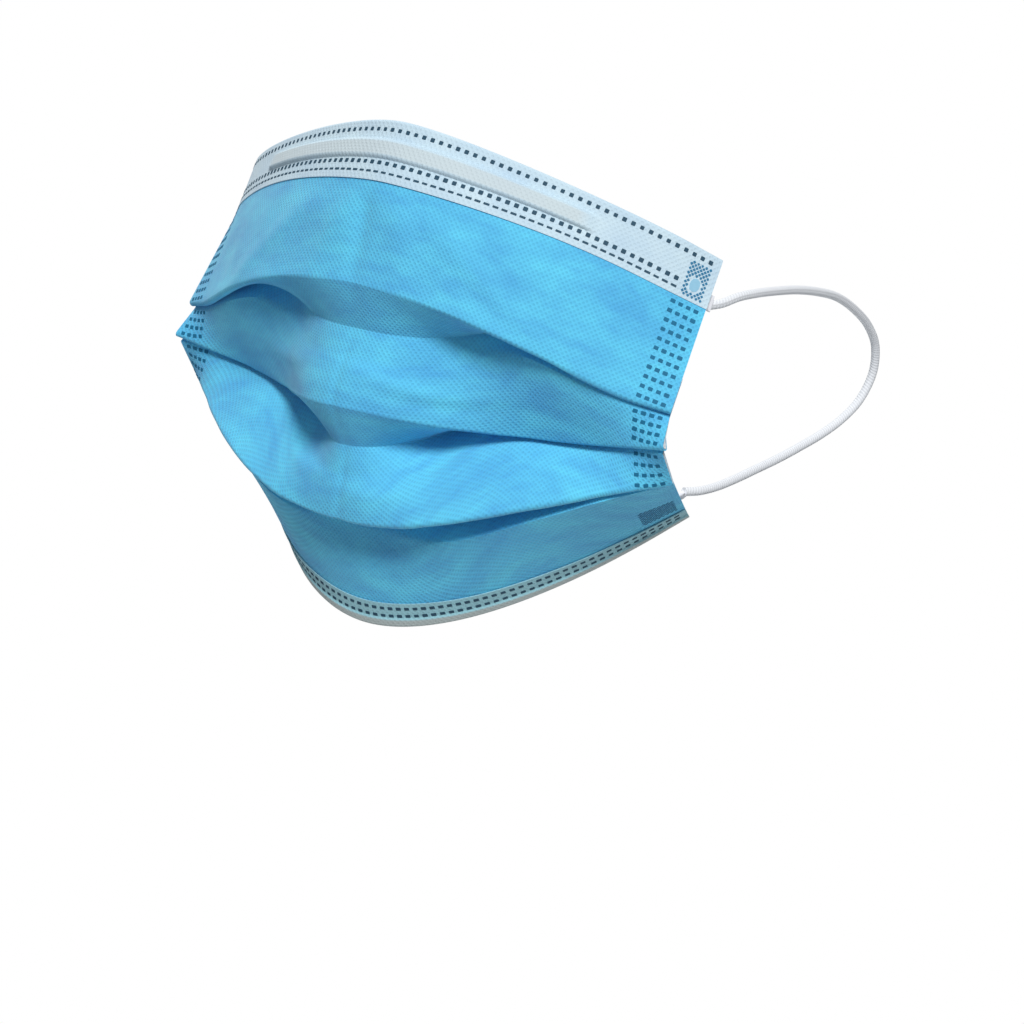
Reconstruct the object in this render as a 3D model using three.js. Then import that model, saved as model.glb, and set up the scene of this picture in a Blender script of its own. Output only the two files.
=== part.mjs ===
// Pleated face mask in its opened, worn form. Millimetres, +Z up, the front of the mask faces -Y.
// The origin sits on the nose bridge, at the middle of the top edge.
import * as THREE from 'three';

// ---- cloth ----
const BODY_WALL = 1.0;
const PLEAT_GAP = 0.4;
const LAYER_PITCH = BODY_WALL + PLEAT_GAP;
const BEND_RADIUS = LAYER_PITCH / 2;
const HALF_WIDTH = 87.5;
const WELD_TAIL = 9;
const HALF_STATIONS = 15;

// ---- the five edges that show from the front, each half an arc of HALF_WIDTH ----
const EDGES = [
  { name: 'top', centreY: 0, centreZ: 0, cornerX: 74, cornerY: 30, cornerZ: -29,
    heading: 48, slope: -31, centreReach: 17.5, sideReach: 14 },
  { name: 'first', centreY: -20, centreZ: -36, cornerX: 77, cornerY: 5.5, cornerZ: -60.5,
    heading: 27, slope: -14.5, centreReach: 37, sideReach: 14 },
  { name: 'second', centreY: -27.5, centreZ: -65, cornerX: 78.5, cornerY: 1, cornerZ: -68,
    heading: -3, slope: 9, centreReach: 22, sideReach: 42 },
  { name: 'third', centreY: -26.5, centreZ: -94.5, cornerX: 77, cornerY: 7, cornerZ: -78.5,
    heading: 39.5, slope: 9, centreReach: 24, sideReach: 42 },
  { name: 'bottom', centreY: -15.5, centreZ: -125, cornerX: 63.5, cornerY: 32.5, cornerZ: -96,
    heading: 59.5, slope: 24.5, centreReach: 20, sideReach: 34 },
];

// ---- pleats: how deep the cloth is tucked and how far each tuck has swung open ----
const TUCK_SIDE = 9;
const TUCK_CENTRE = 12;
const PLEATS = [
  { name: 'first', openAngle: 38, closedFrom: 0.9, openShape: 1.0, setShare: 0.5 },
  { name: 'second', openAngle: 50, closedFrom: 0.9, openShape: 1.25, setShare: 0.5 },
  { name: 'third', openAngle: 122, closedFrom: 0.9, openShape: 2.0, setShare: 0.8 },
];
const SHADOW_DROP = 0.8;
const SHUT_FROM = 60;
const SHUT_SPAN = 100;
const PANELS = [
  { name: 'top', bulge: 1.2, steps: 4 },
  { name: 'second', bulge: 0.8, steps: 3 },
  { name: 'third', bulge: 0.8, steps: 3 },
  { name: 'bottom', bulge: 0.6, steps: 4 },
];
const TUCK_STEPS = 1;
const BEND_STEPS = 2;

// ---- hems ----
const HEM_WALL = 1.0;
const FIT_GAP = 0.3;
const HEM_OFFSET = BODY_WALL / 2 + FIT_GAP + HEM_WALL / 2;
const HEM_TUCK = HEM_OFFSET + HEM_WALL / 2;
const TOP_HEM_DEPTH = 13;
const BOTTOM_HEM_DEPTH = 7;
const HEM_TURN_STEPS = 4;

// ---- nose wire ----
const WIRE_THICKNESS = 1.0;
const WIRE_FROM = 5.0;
const WIRE_TO = 8.2;
const WIRE_HALF_STEPS = 9;
const WIRE_LIFT = WIRE_THICKNESS + FIT_GAP;
const WIRE_SHOULDER = 0.8;
const WIRE_CLEAR = 0.3;

// ---- elastic ----
const CORD_RADIUS = 1.15;
const CORD_SIDES = 8;
const CORD_STEPS = 40;
const TAB_LENGTH = 9;
const TAB_THICKNESS = 1.6;
const TAB_OVERHANG = 0.6;
const TOP_TAB = { from: 8.6, to: 12.6 };
const BOTTOM_TAB = { from: 12.6, to: 16.6 };
const CORD_ROUTE = [
  [73.6, 25.8, -39.3],
  [75.2, 28.2, -39.1],
  [76.8, 33, -38.3],
  [77.7, 39.5, -38.6],
  [78, 48, -39.8],
  [78, 57, -41.5],
  [77.8, 67, -44.2],
  [77.2, 77, -47.9],
  [76.8, 86, -53.2],
  [76.3, 93.5, -59.2],
  [75.5, 98.6, -66],
  [74.4, 99.6, -73.5],
  [73.2, 96, -79.8],
  [72.3, 89.5, -83.5],
  [71.6, 81, -85.7],
  [71, 71, -87],
  [70.8, 61, -87.7],
  [70.8, 51, -87.9],
  [71, 42, -87.9],
  [71, 34, -87.7],
  [70.4, 27.5, -87.2],
  [69, 23, -86.5],
];

const FINISHES = {
  body: { name: 'blue_nonwoven', colour: 0x3fa9dc },
  hem: { name: 'white_nonwoven', colour: 0xe6f1f8 },
  bottomHem: { name: 'edge_nonwoven', colour: 0xb9ccd2 },
  wire: { name: 'wire_plastic', colour: 0xd8dcdf },
  elastic: { name: 'elastic_knit', colour: 0xe4e6f2 },
};

const ROUGHNESS = 0.85;
const DEGREE = Math.PI / 180;
const MIRROR_X = new THREE.Vector3(-1, 1, 1);
const STATION_NUDGE = 0.01;
const DROP_NUDGE = 0.4;

function smooth(value) {
  const x = Math.min(1, Math.max(0, value));
  return x * x * (3 - 2 * x);
}

function mix(a, b, share) {
  return a.clone().lerp(b, share);
}

function edgeCurve(edge) {
  const corner = new THREE.Vector3(edge.cornerX, edge.cornerY, edge.cornerZ);
  const heading = edge.heading * DEGREE;
  const slope = edge.slope * DEGREE;
  const outward = new THREE.Vector3(
    Math.cos(heading) * Math.cos(slope),
    Math.sin(heading) * Math.cos(slope),
    Math.sin(slope),
  );
  const weld = corner.clone().addScaledVector(outward, -WELD_TAIL);
  const centre = new THREE.Vector3(0, edge.centreY, edge.centreZ);
  const curve = new THREE.CurvePath();
  curve.add(new THREE.CubicBezierCurve3(
    centre,
    centre.clone().add(new THREE.Vector3(edge.centreReach, 0, 0)),
    weld.clone().addScaledVector(outward, -edge.sideReach),
    weld,
  ));
  curve.add(new THREE.LineCurve3(weld, corner));
  return { curve, corner, outward };
}

const EDGE_CURVES = EDGES.map(edgeCurve);

// A point on one of the five edges; side runs from 0 at the middle to 1 at the corner.
function edgePoint(index, side) {
  const { curve, corner, outward } = EDGE_CURVES[index];
  const reach = Math.abs(side);
  const point = reach <= 1
    ? curve.getPoint(reach)
    : corner.clone().addScaledVector(outward, (reach - 1) * HALF_WIDTH);
  return side < 0 ? point.multiply(MIRROR_X) : point;
}

function edgeTangent(index, side) {
  const ahead = edgePoint(index, side + STATION_NUDGE);
  return ahead.sub(edgePoint(index, side - STATION_NUDGE)).normalize();
}

function unit(from, to) {
  return to.clone().sub(from).normalize();
}

// The inward direction square to both the edge and the way down the cloth.
function inwardOf(tangent, down) {
  return tangent.clone().cross(down).normalize();
}

// How far one tuck has swung, in radians: small where it hangs open, near half a turn where shut.
function tuckSwing(pleat, side) {
  const shut = Math.PI - Math.atan(LAYER_PITCH / TUCK_SIDE);
  const share = smooth(Math.pow(Math.min(1, Math.abs(side) / pleat.closedFrom), pleat.openShape));
  return pleat.openAngle * DEGREE * (1 - share) + shut * share;
}

// The corners of the cloth's section at one station, before they are rounded.
function sectionCorners(side) {
  const corners = [];
  let start = edgePoint(0, side);
  let from = start;
  for (let i = 0; i < PLEATS.length; i += 1) {
    const tip = edgePoint(i + 1, side);
    const tangent = edgeTangent(i + 1, side);
    const down = unit(from, tip);
    const inward = inwardOf(tangent, down);
    const swing = tuckSwing(PLEATS[i], side);
    const shutShare = smooth((swing / DEGREE - SHUT_FROM) / SHUT_SPAN);
    const depth = TUCK_CENTRE * (1 - shutShare) + TUCK_SIDE * shutShare;
    const setBack = Math.sin(swing) * depth;
    const root = tip.clone()
      .addScaledVector(down, Math.cos(swing) * depth)
      .addScaledVector(inward, setBack);
    const next = edgePoint(i + 2, side);
    const straight = mix(root, next, depth / (depth + root.distanceTo(next)));
    const behind = tip.clone()
      .addScaledVector(inward, LAYER_PITCH + (setBack - LAYER_PITCH) * PLEATS[i].setShare)
      .addScaledVector(down, SHADOW_DROP);
    const shadow = mix(straight, behind, shutShare);
    corners.push({ from, start, tip, root, shadow, inward, shutShare });
    start = root;
    from = shadow;
  }
  corners.push({ from, start, tip: edgePoint(EDGES.length - 1, side) });
  return corners;
}

// Rounds one fold: the points of a turn of BEND_RADIUS between two directions.
function bend(tip, into, outOf, aside) {
  const square = aside.clone().addScaledVector(into, -aside.dot(into)).normalize();
  const turn = Math.atan2(outOf.dot(square), outOf.dot(into));
  const reach = BEND_RADIUS * Math.tan(Math.abs(turn) / 4);
  const across = into.clone().multiplyScalar(Math.cos(turn / 2))
    .addScaledVector(square, Math.sin(turn / 2));
  const first = tip.clone().addScaledVector(across, -reach);
  const second = tip.clone().addScaledVector(across, reach);
  const points = [];
  const arcs = [
    [first.clone().addScaledVector(into, -reach), first, tip],
    [tip, second, second.clone().addScaledVector(outOf, reach)],
  ];
  const weight = Math.cos(turn / 4);
  for (const [a, b, c] of arcs) {
    for (let i = points.length ? 1 : 0; i <= BEND_STEPS; i += 1) {
      const t = i / BEND_STEPS;
      const wa = (1 - t) * (1 - t);
      const wb = 2 * t * (1 - t) * weight;
      const wc = t * t;
      const point = new THREE.Vector3()
        .addScaledVector(a, wa)
        .addScaledVector(b, wb)
        .addScaledVector(c, wc)
        .divideScalar(wa + wb + wc);
      points.push(point);
    }
  }
  return points;
}

function bulgeAt(panel, side, share) {
  const fade = Math.pow(Math.cos(Math.min(1, Math.abs(side)) * Math.PI / 2), 2);
  return PANELS[panel].bulge * fade * Math.sin(Math.PI * share);
}

// Points on the top panel at a drop below the top edge, and on the bottom panel above its edge.
function topPoint(side, drop) {
  const corner = sectionCorners(side)[0];
  const length = corner.start.distanceTo(corner.tip);
  const share = drop / length;
  return mix(corner.start, corner.tip, share)
    .addScaledVector(corner.inward, -bulgeAt(0, side, share));
}

function bottomPoint(side, rise) {
  const corners = sectionCorners(side);
  const last = corners[corners.length - 1];
  const length = last.tip.distanceTo(last.from);
  const share = rise / length;
  const down = unit(last.from, last.tip);
  const inward = inwardOf(edgeTangent(EDGES.length - 1, side), down);
  return mix(last.tip, last.from, share)
    .addScaledVector(inward, -bulgeAt(PANELS.length - 1, side, share));
}

function frameOf(surface, side, drop, downSign) {
  const point = surface(side, drop);
  const along = unit(surface(side - STATION_NUDGE, drop), surface(side + STATION_NUDGE, drop));
  const step = unit(surface(side, drop - DROP_NUDGE), surface(side, drop + DROP_NUDGE));
  const down = step.multiplyScalar(downSign);
  return { point, along, down, inward: inwardOf(along, down) };
}

// One whole section of the pleated panel, from the top edge down to the bottom edge.
function bodySection(side) {
  const corners = sectionCorners(side);
  const rows = [];
  const top = topPoint(side, HEM_TUCK);
  for (let i = 0; i < PLEATS.length; i += 1) {
    const here = corners[i];
    const after = corners[i + 1];
    const outer = bend(here.tip, unit(here.from, here.tip), unit(here.tip, here.root), here.inward);
    const away = here.inward.clone().negate();
    const inner = bend(here.root, unit(here.tip, here.root), unit(here.root, here.shadow), away);
    const begin = i === 0 ? top : rows[rows.length - 1];
    const steps = PANELS[i].steps;
    if (i === 0) {
      rows.push(top);
      const whole = here.start.distanceTo(here.tip);
      const end = outer[0];
      for (let j = 1; j < steps; j += 1) {
        const share = j / steps;
        const bulgeShare = (HEM_TUCK + (whole - HEM_TUCK) * share) / whole;
        const base = mix(here.start, here.tip, HEM_TUCK / whole);
        rows.push(mix(base, end, share)
          .addScaledVector(here.inward, -bulgeAt(0, side, bulgeShare)));
      }
    } else {
      const shade = corners[i - 1].shadow;
      rows.push(mix(begin, shade, 1 / 2));
      rows.push(shade);
      for (let j = 1; j < steps; j += 1) {
        const share = j / steps;
        rows.push(mix(shade, outer[0], share)
          .addScaledVector(here.inward, -bulgeAt(i, side, share)));
      }
    }
    rows.push(...outer);
    for (let j = 1; j < TUCK_STEPS; j += 1) {
      rows.push(mix(outer[outer.length - 1], inner[0], j / TUCK_STEPS));
    }
    rows.push(...inner);
    if (i === PLEATS.length - 1) {
      const last = corners[corners.length - 1];
      const lastSteps = PANELS[i + 1].steps;
      rows.push(mix(inner[inner.length - 1], after.from, 1 / 2));
      rows.push(after.from);
      const whole = last.tip.distanceTo(last.from);
      for (let j = lastSteps - 1; j >= 0; j -= 1) {
        rows.push(bottomPoint(side, HEM_TUCK + (whole - HEM_TUCK) * j / lastSteps));
      }
    }
  }
  return rows;
}

function stations(halfSteps, endShare) {
  const list = [];
  for (let i = -halfSteps; i <= halfSteps; i += 1) {
    list.push(endShare * i / halfSteps);
  }
  return list;
}

function averageStep(before, here, after) {
  const step = new THREE.Vector3();
  if (before) {
    step.add(unit(before, here));
  }
  if (after) {
    step.add(unit(here, after));
  }
  return step.normalize();
}

// Turns a grid of points (stations by rows) into one closed sheet of the given wall.
function sheetGeometry(grid, wall) {
  const across = grid.length;
  const rows = grid[0].length;
  const outer = [];
  const inner = [];
  for (let i = 0; i < across; i += 1) {
    for (let j = 0; j < rows; j += 1) {
      const here = grid[i][j];
      const along = averageStep(grid[i - 1]?.[j], here, grid[i + 1]?.[j]);
      const down = averageStep(grid[i][j - 1], here, grid[i][j + 1]);
      const inward = inwardOf(along, down);
      outer.push(here.clone().addScaledVector(inward, -wall / 2));
      inner.push(here.clone().addScaledVector(inward, wall / 2));
    }
  }
  const positions = [];
  for (const point of [...outer, ...inner]) {
    positions.push(point.x, point.y, point.z);
  }
  const shift = outer.length;
  const at = (i, j) => i * rows + j;
  const index = [];
  const quad = (a, b, c, d) => index.push(a, b, c, a, c, d);
  for (let i = 0; i + 1 < across; i += 1) {
    for (let j = 0; j + 1 < rows; j += 1) {
      quad(at(i, j), at(i, j + 1), at(i + 1, j + 1), at(i + 1, j));
      quad(shift + at(i, j), shift + at(i + 1, j), shift + at(i + 1, j + 1), shift + at(i, j + 1));
    }
  }
  for (let i = 0; i + 1 < across; i += 1) {
    const last = rows - 1;
    quad(at(i, 0), at(i + 1, 0), shift + at(i + 1, 0), shift + at(i, 0));
    quad(at(i + 1, last), at(i, last), shift + at(i, last), shift + at(i + 1, last));
  }
  for (let j = 0; j + 1 < rows; j += 1) {
    const last = across - 1;
    quad(at(0, j + 1), at(0, j), shift + at(0, j), shift + at(0, j + 1));
    quad(at(last, j), at(last, j + 1), shift + at(last, j + 1), shift + at(last, j));
  }
  const geometry = new THREE.BufferGeometry();
  geometry.setAttribute('position', new THREE.Float32BufferAttribute(positions, 3));
  geometry.setIndex(index);
  geometry.computeVertexNormals();
  return geometry;
}

function makeMesh(name, geometry, finish) {
  const material = new THREE.MeshStandardMaterial({
    color: finish.colour,
    roughness: ROUGHNESS,
    metalness: 0,
  });
  material.name = finish.name;
  const mesh = new THREE.Mesh(geometry, material);
  mesh.name = name;
  return mesh;
}

// A strip folded over an edge: up the outside, round the edge and down the inside.
function hemSection(surface, side, downSign, depth, raised) {
  const place = (drop, offset) => {
    const frame = frameOf(surface, side, drop, downSign);
    return frame.point.addScaledVector(frame.inward, offset);
  };
  const rows = [];
  rows.push(place(depth, -HEM_OFFSET));
  for (const drop of raised) {
    rows.push(place(drop, -HEM_OFFSET - wireLift(drop, side)));
  }
  const turn = frameOf(surface, side, HEM_TUCK, downSign);
  const beyond = turn.down.clone().multiplyScalar(-downSign);
  for (let i = 0; i <= HEM_TURN_STEPS; i += 1) {
    const angle = Math.PI * i / HEM_TURN_STEPS;
    rows.push(turn.point.clone()
      .addScaledVector(turn.inward, -Math.cos(angle) * HEM_OFFSET)
      .addScaledVector(beyond, Math.sin(angle) * HEM_OFFSET));
  }
  rows.push(place(depth, HEM_OFFSET));
  return rows;
}

function wireLift(drop, side) {
  const end = WIRE_HALF_STEPS / HALF_STATIONS;
  const sideShare = 1 - Math.min(1, Math.max(0, (Math.abs(side) - end) * HALF_STATIONS - 1));
  const low = WIRE_FROM - WIRE_CLEAR;
  const high = WIRE_TO + WIRE_CLEAR;
  const inside = drop >= low - STATION_NUDGE && drop <= high + STATION_NUDGE;
  return inside ? WIRE_LIFT * sideShare : 0;
}

const RAISED_DROPS = [
  WIRE_TO + WIRE_CLEAR + WIRE_SHOULDER,
  WIRE_TO + WIRE_CLEAR,
  WIRE_FROM - WIRE_CLEAR,
  WIRE_FROM - WIRE_CLEAR - WIRE_SHOULDER,
];

function stripGeometry(surface, sides, drops, downSign, offset, wall) {
  const grid = sides.map((side) => drops.map((drop) => {
    const frame = frameOf(surface, side, drop, downSign);
    return frame.point.addScaledVector(frame.inward, offset);
  }));
  return sheetGeometry(grid, wall);
}

function tabSides(handSign) {
  const inner = 1 - TAB_LENGTH / HALF_WIDTH;
  const outer = 1 + TAB_OVERHANG / HALF_WIDTH;
  return [inner, (inner + outer) / 2, outer].map((side) => handSign * side);
}

function cordGeometry(handSign) {
  const points = CORD_ROUTE.map(([x, y, z]) => new THREE.Vector3(handSign * x, y, z));
  const path = new THREE.CatmullRomCurve3(points, false, 'centripetal');
  const ring = new THREE.Shape();
  ring.absarc(0, 0, CORD_RADIUS, 0, 2 * Math.PI, false);
  return new THREE.ExtrudeGeometry(ring, {
    steps: CORD_STEPS,
    curveSegments: CORD_SIDES / 2,
    extrudePath: path,
    bevelEnabled: false,
  });
}

const group = new THREE.Group();
group.name = 'face_mask';
const allSides = stations(HALF_STATIONS, 1);

const body = sheetGeometry(allSides.map(bodySection), BODY_WALL);
group.add(makeMesh('pleated_body', body, FINISHES.body));

const topHem = allSides.map((side) => hemSection(topPoint, side, 1, TOP_HEM_DEPTH, RAISED_DROPS));
group.add(makeMesh('top_hem', sheetGeometry(topHem, HEM_WALL), FINISHES.hem));

const wireSides = stations(WIRE_HALF_STEPS, WIRE_HALF_STEPS / HALF_STATIONS);
const wireOffset = -(BODY_WALL + WIRE_THICKNESS) / 2 - FIT_GAP;
const wireDrops = [WIRE_FROM, WIRE_TO];
group.add(makeMesh(
  'nose_wire',
  stripGeometry(topPoint, wireSides, wireDrops, 1, wireOffset, WIRE_THICKNESS),
  FINISHES.wire,
));

const bottomHem = allSides.map((side) => hemSection(bottomPoint, side, -1, BOTTOM_HEM_DEPTH, []));
group.add(makeMesh('bottom_hem', sheetGeometry(bottomHem, HEM_WALL), FINISHES.bottomHem));

const topTabOffset = HEM_OFFSET + HEM_WALL / 2 + FIT_GAP + TAB_THICKNESS / 2;
const bottomTabOffset = BODY_WALL / 2 + FIT_GAP + TAB_THICKNESS / 2;
for (const hand of [{ name: 'left', sign: 1 }, { name: 'right', sign: -1 }]) {
  const sides = tabSides(hand.sign);
  const topDrops = [TOP_TAB.from, TOP_TAB.to];
  const bottomDrops = [BOTTOM_TAB.from, BOTTOM_TAB.to];
  group.add(makeMesh(
    `loop_tab_top_${hand.name}`,
    stripGeometry(topPoint, sides, topDrops, 1, topTabOffset, TAB_THICKNESS),
    FINISHES.elastic,
  ));
  group.add(makeMesh(
    `loop_tab_bottom_${hand.name}`,
    stripGeometry(bottomPoint, sides, bottomDrops, -1, bottomTabOffset, TAB_THICKNESS),
    FINISHES.elastic,
  ));
  group.add(makeMesh(`ear_loop_${hand.name}`, cordGeometry(hand.sign), FINISHES.elastic));
}

export default group;
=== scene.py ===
"""Pleated face mask in its opened, worn form, with its seams, nose wire and elastic loops."""
import math

import bmesh
import bpy
import numpy as np
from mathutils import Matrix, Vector


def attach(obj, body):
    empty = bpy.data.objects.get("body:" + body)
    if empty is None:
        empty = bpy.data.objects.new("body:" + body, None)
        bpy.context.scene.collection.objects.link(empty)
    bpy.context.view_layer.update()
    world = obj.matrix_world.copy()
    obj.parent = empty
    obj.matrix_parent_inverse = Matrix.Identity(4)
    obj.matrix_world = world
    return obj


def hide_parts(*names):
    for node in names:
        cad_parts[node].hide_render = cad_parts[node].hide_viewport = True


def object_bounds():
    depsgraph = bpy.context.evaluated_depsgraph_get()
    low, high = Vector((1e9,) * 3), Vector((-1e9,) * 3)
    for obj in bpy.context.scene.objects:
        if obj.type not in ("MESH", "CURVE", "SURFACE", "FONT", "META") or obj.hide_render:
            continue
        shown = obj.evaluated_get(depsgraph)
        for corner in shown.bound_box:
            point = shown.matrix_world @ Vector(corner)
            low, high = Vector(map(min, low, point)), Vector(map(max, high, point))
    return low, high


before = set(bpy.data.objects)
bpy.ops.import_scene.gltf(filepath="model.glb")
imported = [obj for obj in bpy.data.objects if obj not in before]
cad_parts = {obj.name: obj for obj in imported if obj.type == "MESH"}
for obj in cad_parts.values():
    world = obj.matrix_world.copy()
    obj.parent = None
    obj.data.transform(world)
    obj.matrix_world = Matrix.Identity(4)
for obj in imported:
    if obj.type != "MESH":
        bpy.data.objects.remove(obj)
CAD_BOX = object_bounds()

bl_info = {
    "name": "Pleated Face Mask",
    "version": (1, 0, 0),
    "blender": (4, 5, 0),
    "location": "View3D > Sidebar > Face Mask",
    "description": "Builds an opened pleated face mask with hems, bonded seams and ear loops",
    "category": "Add Mesh",
}

MM = 0.001

# ---- the cloth: the same sizes as the solid model, in millimetres ----
HALF_WIDTH = 87.5
WELD_TAIL = 9.0
LAYER_PITCH = 1.4
BEND_RADIUS = 0.7
TUCK_SIDE = 9.0
TUCK_CENTRE = 12.0
SHADOW_DROP = 0.8
SHUT_FROM = 60.0
SHUT_SPAN = 100.0
SIDE_NUDGE = 0.01
DROP_NUDGE = 0.4

EDGES = (
    # name, centre y and z, corner x, y and z, heading, slope, centre reach, side reach
    ("top", 0, 0, 74, 30, -29, 48, -31, 17.5, 14),
    ("first", -20, -36, 77, 5.5, -60.5, 27, -14.5, 37, 14),
    ("second", -27.5, -65, 78.5, 1, -68, -3, 9, 22, 42),
    ("third", -26.5, -94.5, 77, 7, -78.5, 39.5, 9, 24, 42),
    ("bottom", -15.5, -125, 63.5, 32.5, -96, 59.5, 24.5, 20, 34),
)
PLEATS = (
    # name, open angle at the middle, share of the half width where shut, shape, set-back share
    ("first", 38, 0.9, 1.0, 0.5),
    ("second", 50, 0.9, 1.25, 0.5),
    ("third", 122, 0.9, 2.0, 0.8),
)
PANELS = (
    # name, bulge, rows of faces
    ("top", 1.8, 30),
    ("second", 0.8, 14),
    ("third", 0.8, 14),
    ("bottom", 0.6, 22),
)
HALF_STATIONS = 100
TUCK_STEPS = 5
BEND_STEPS = 4
SHADE_STEPS = 5

# ---- soft creases pressed or pulled into the cloth ----
CREASES = (
    # name, across, down the cloth, lean from upright, half length, half width, height
    ("nose ridge", -1, 24, 4, 17, 2.6, -0.45),
    ("nose hollow left", -9, 27, -20, 13, 4.5, 0.45),
    ("nose hollow right", 9.5, 25, 22, 14, 5, 0.40),
    ("packing fold", 0, 68, 2, 12, 1.1, -0.20),
    ("packing fold low", 1, 96, -3, 12, 1.2, -0.20),
    ("cheek pull", 34, 30, 62, 22, 3.4, 0.35),
    ("cheek pull low", 46, 38, 70, 18, 2.6, -0.25),
    ("cheek pull left", -38, 31, -60, 20, 3.2, 0.35),
    ("lip wave", 22, 66, 80, 20, 1.7, 0.28),
    ("lip wave low", 34, 70, 84, 24, 1.4, -0.22),
    ("lip wave left", -30, 66, -78, 18, 1.8, 0.28),
    ("chin wave", -22, 97, -74, 20, 1.8, 0.30),
    ("chin wave right", 26, 99, 82, 26, 1.6, 0.26),
    ("throat wave", -18, 142, -68, 18, 2.4, 0.45),
    ("throat wave low", -10, 150, -80, 22, 1.8, -0.30),
    ("throat wave right", 20, 143, 76, 22, 2.2, 0.35),
)
CREASE_FADE_FROM = 68.0
CREASE_FADE_SPAN = 9.0
CALM_TOP, CALM_BOTTOM, CALM_SPAN = 16.0, 8.0, 8.0

# ---- plies, hems and wire ----
PLY_WALL = 0.28
PLY_OFFSET = 0.20
HEM_WALL = 0.26
HEM_OFFSET = 0.62
TOP_HEM_DEPTH = 13.2
TUCK_SHORT, TUCK_SHORT_FROM, TUCK_SHORT_SPAN = 2.2, 62.0, 24.0
NOSE_DEEPENING = 0.22
NOSE_REACH = 66.0
BOTTOM_HEM_DEPTH = 6.8
HEM_TURN_STEPS = 10
WIRE_FROM = 4.9
WIRE_TO = 8.1
WIRE_HALF = 52.5
WIRE_LIFT = 1.0
WIRE_SHOULDER = 0.55
WIRE_WALL = 0.7
WIRE_GAP = 0.08
# painted shade: a greyer band along the nose-wire ridge of the top hem (middle, half width, reach,
# colour)
RIDGE_PAINTED_SHADE = (6.7, 1.6, 54.0, (0.62, 0.71, 0.74))
ROLL_HEIGHT = 2.3
ROLL_LIFT = 0.45
BORDER_BAND = (7.0, 2.5, 90.0, (0.50, 0.53, 0.51))

# ---- elastic ----
CORD_DIAMETER = 2.2
CORD_SIDES = 20
CORD_RINGS = 520
ROUTE_STEPS = 24
KNIT_COLUMNS = 6
KNIT_PITCH = 0.8
KNIT_RELIEF = 0.025
TOP_TAB = (8.6, 12.6)
BOTTOM_TAB = (12.6, 16.6)
TAB_LENGTH = 9.0
TAB_OVERHANG = 1.5
CORD_ROUTE = (
    # the way from the top corner to the bottom corner of the left side, in millimetres
    (73.6, 25.8, -39.3), (75.2, 28.2, -39.1), (76.8, 33, -38.3), (77.7, 39.5, -38.6),
    (78, 48, -39.8), (78, 57, -41.5), (77.8, 67, -44.2), (77.2, 77, -47.9), (76.8, 86, -53.2),
    (76.3, 93.5, -59.2), (75.5, 98.6, -66), (74.4, 99.6, -73.5), (73.2, 96, -79.8),
    (72.3, 89.5, -83.5), (71.6, 81, -85.7), (71, 71, -87), (70.8, 61, -87.7), (70.8, 51, -87.9),
    (71, 42, -87.9), (71, 34, -87.7), (70.4, 27.5, -87.2), (69, 23, -86.5),
)


def smooth(value):
    x = np.clip(value, 0.0, 1.0)
    return x * x * (3.0 - 2.0 * x)


def unit(v):
    return v / np.maximum(np.linalg.norm(v, axis=-1, keepdims=True), 1e-9)


def mix(a, b, share):
    share = np.asarray(share, float)
    if share.ndim:
        share = share[..., None]
    return a + (b - a) * share


def inward_of(along, down):
    return unit(np.cross(along, down))


class EdgeLine:
    """One of the five edges that show, by its own length from the middle to the corner."""

    SAMPLES = 400

    def __init__(self, row):
        _, cy, cz, x, y, z, heading, slope, centre_reach, side_reach = row
        heading, slope = math.radians(heading), math.radians(slope)
        self.outward = np.array([
            math.cos(heading) * math.cos(slope),
            math.sin(heading) * math.cos(slope),
            math.sin(slope),
        ])
        self.corner = np.array([x, y, z], float)
        weld = self.corner - WELD_TAIL * self.outward
        centre = np.array([0.0, cy, cz])
        t = np.linspace(0.0, 1.0, self.SAMPLES)[:, None]
        handles = (centre, centre + [centre_reach, 0, 0], weld - side_reach * self.outward, weld)
        weights = ((1 - t) ** 3, 3 * (1 - t) ** 2 * t, 3 * (1 - t) * t * t, t ** 3)
        bow = sum(w * h for w, h in zip(weights, handles))
        self.points = np.vstack([bow, self.corner[None]])
        steps = np.linalg.norm(np.diff(self.points, axis=0), axis=1)
        self.reach = np.concatenate([[0.0], np.cumsum(steps)]) / steps.sum()

    def at(self, side):
        side = np.asarray(side, float)
        share = np.abs(side)
        inside = np.minimum(share, 1.0)
        point = np.stack([np.interp(inside, self.reach, self.points[:, k]) for k in range(3)], -1)
        point = point + np.maximum(share - 1.0, 0.0)[..., None] * HALF_WIDTH * self.outward
        point[..., 0] *= np.where(side < 0, -1.0, 1.0)
        return point

    def tangent(self, side):
        return unit(self.at(side + SIDE_NUDGE) - self.at(side - SIDE_NUDGE))


LINES = [EdgeLine(row) for row in EDGES]


def tuck_swing(pleat, side):
    _, open_angle, closed_from, shape, _ = pleat
    shut = math.pi - math.atan(LAYER_PITCH / TUCK_SIDE)
    share = smooth(np.minimum(1.0, np.abs(side) / closed_from) ** shape)
    return math.radians(open_angle) * (1 - share) + shut * share


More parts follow.
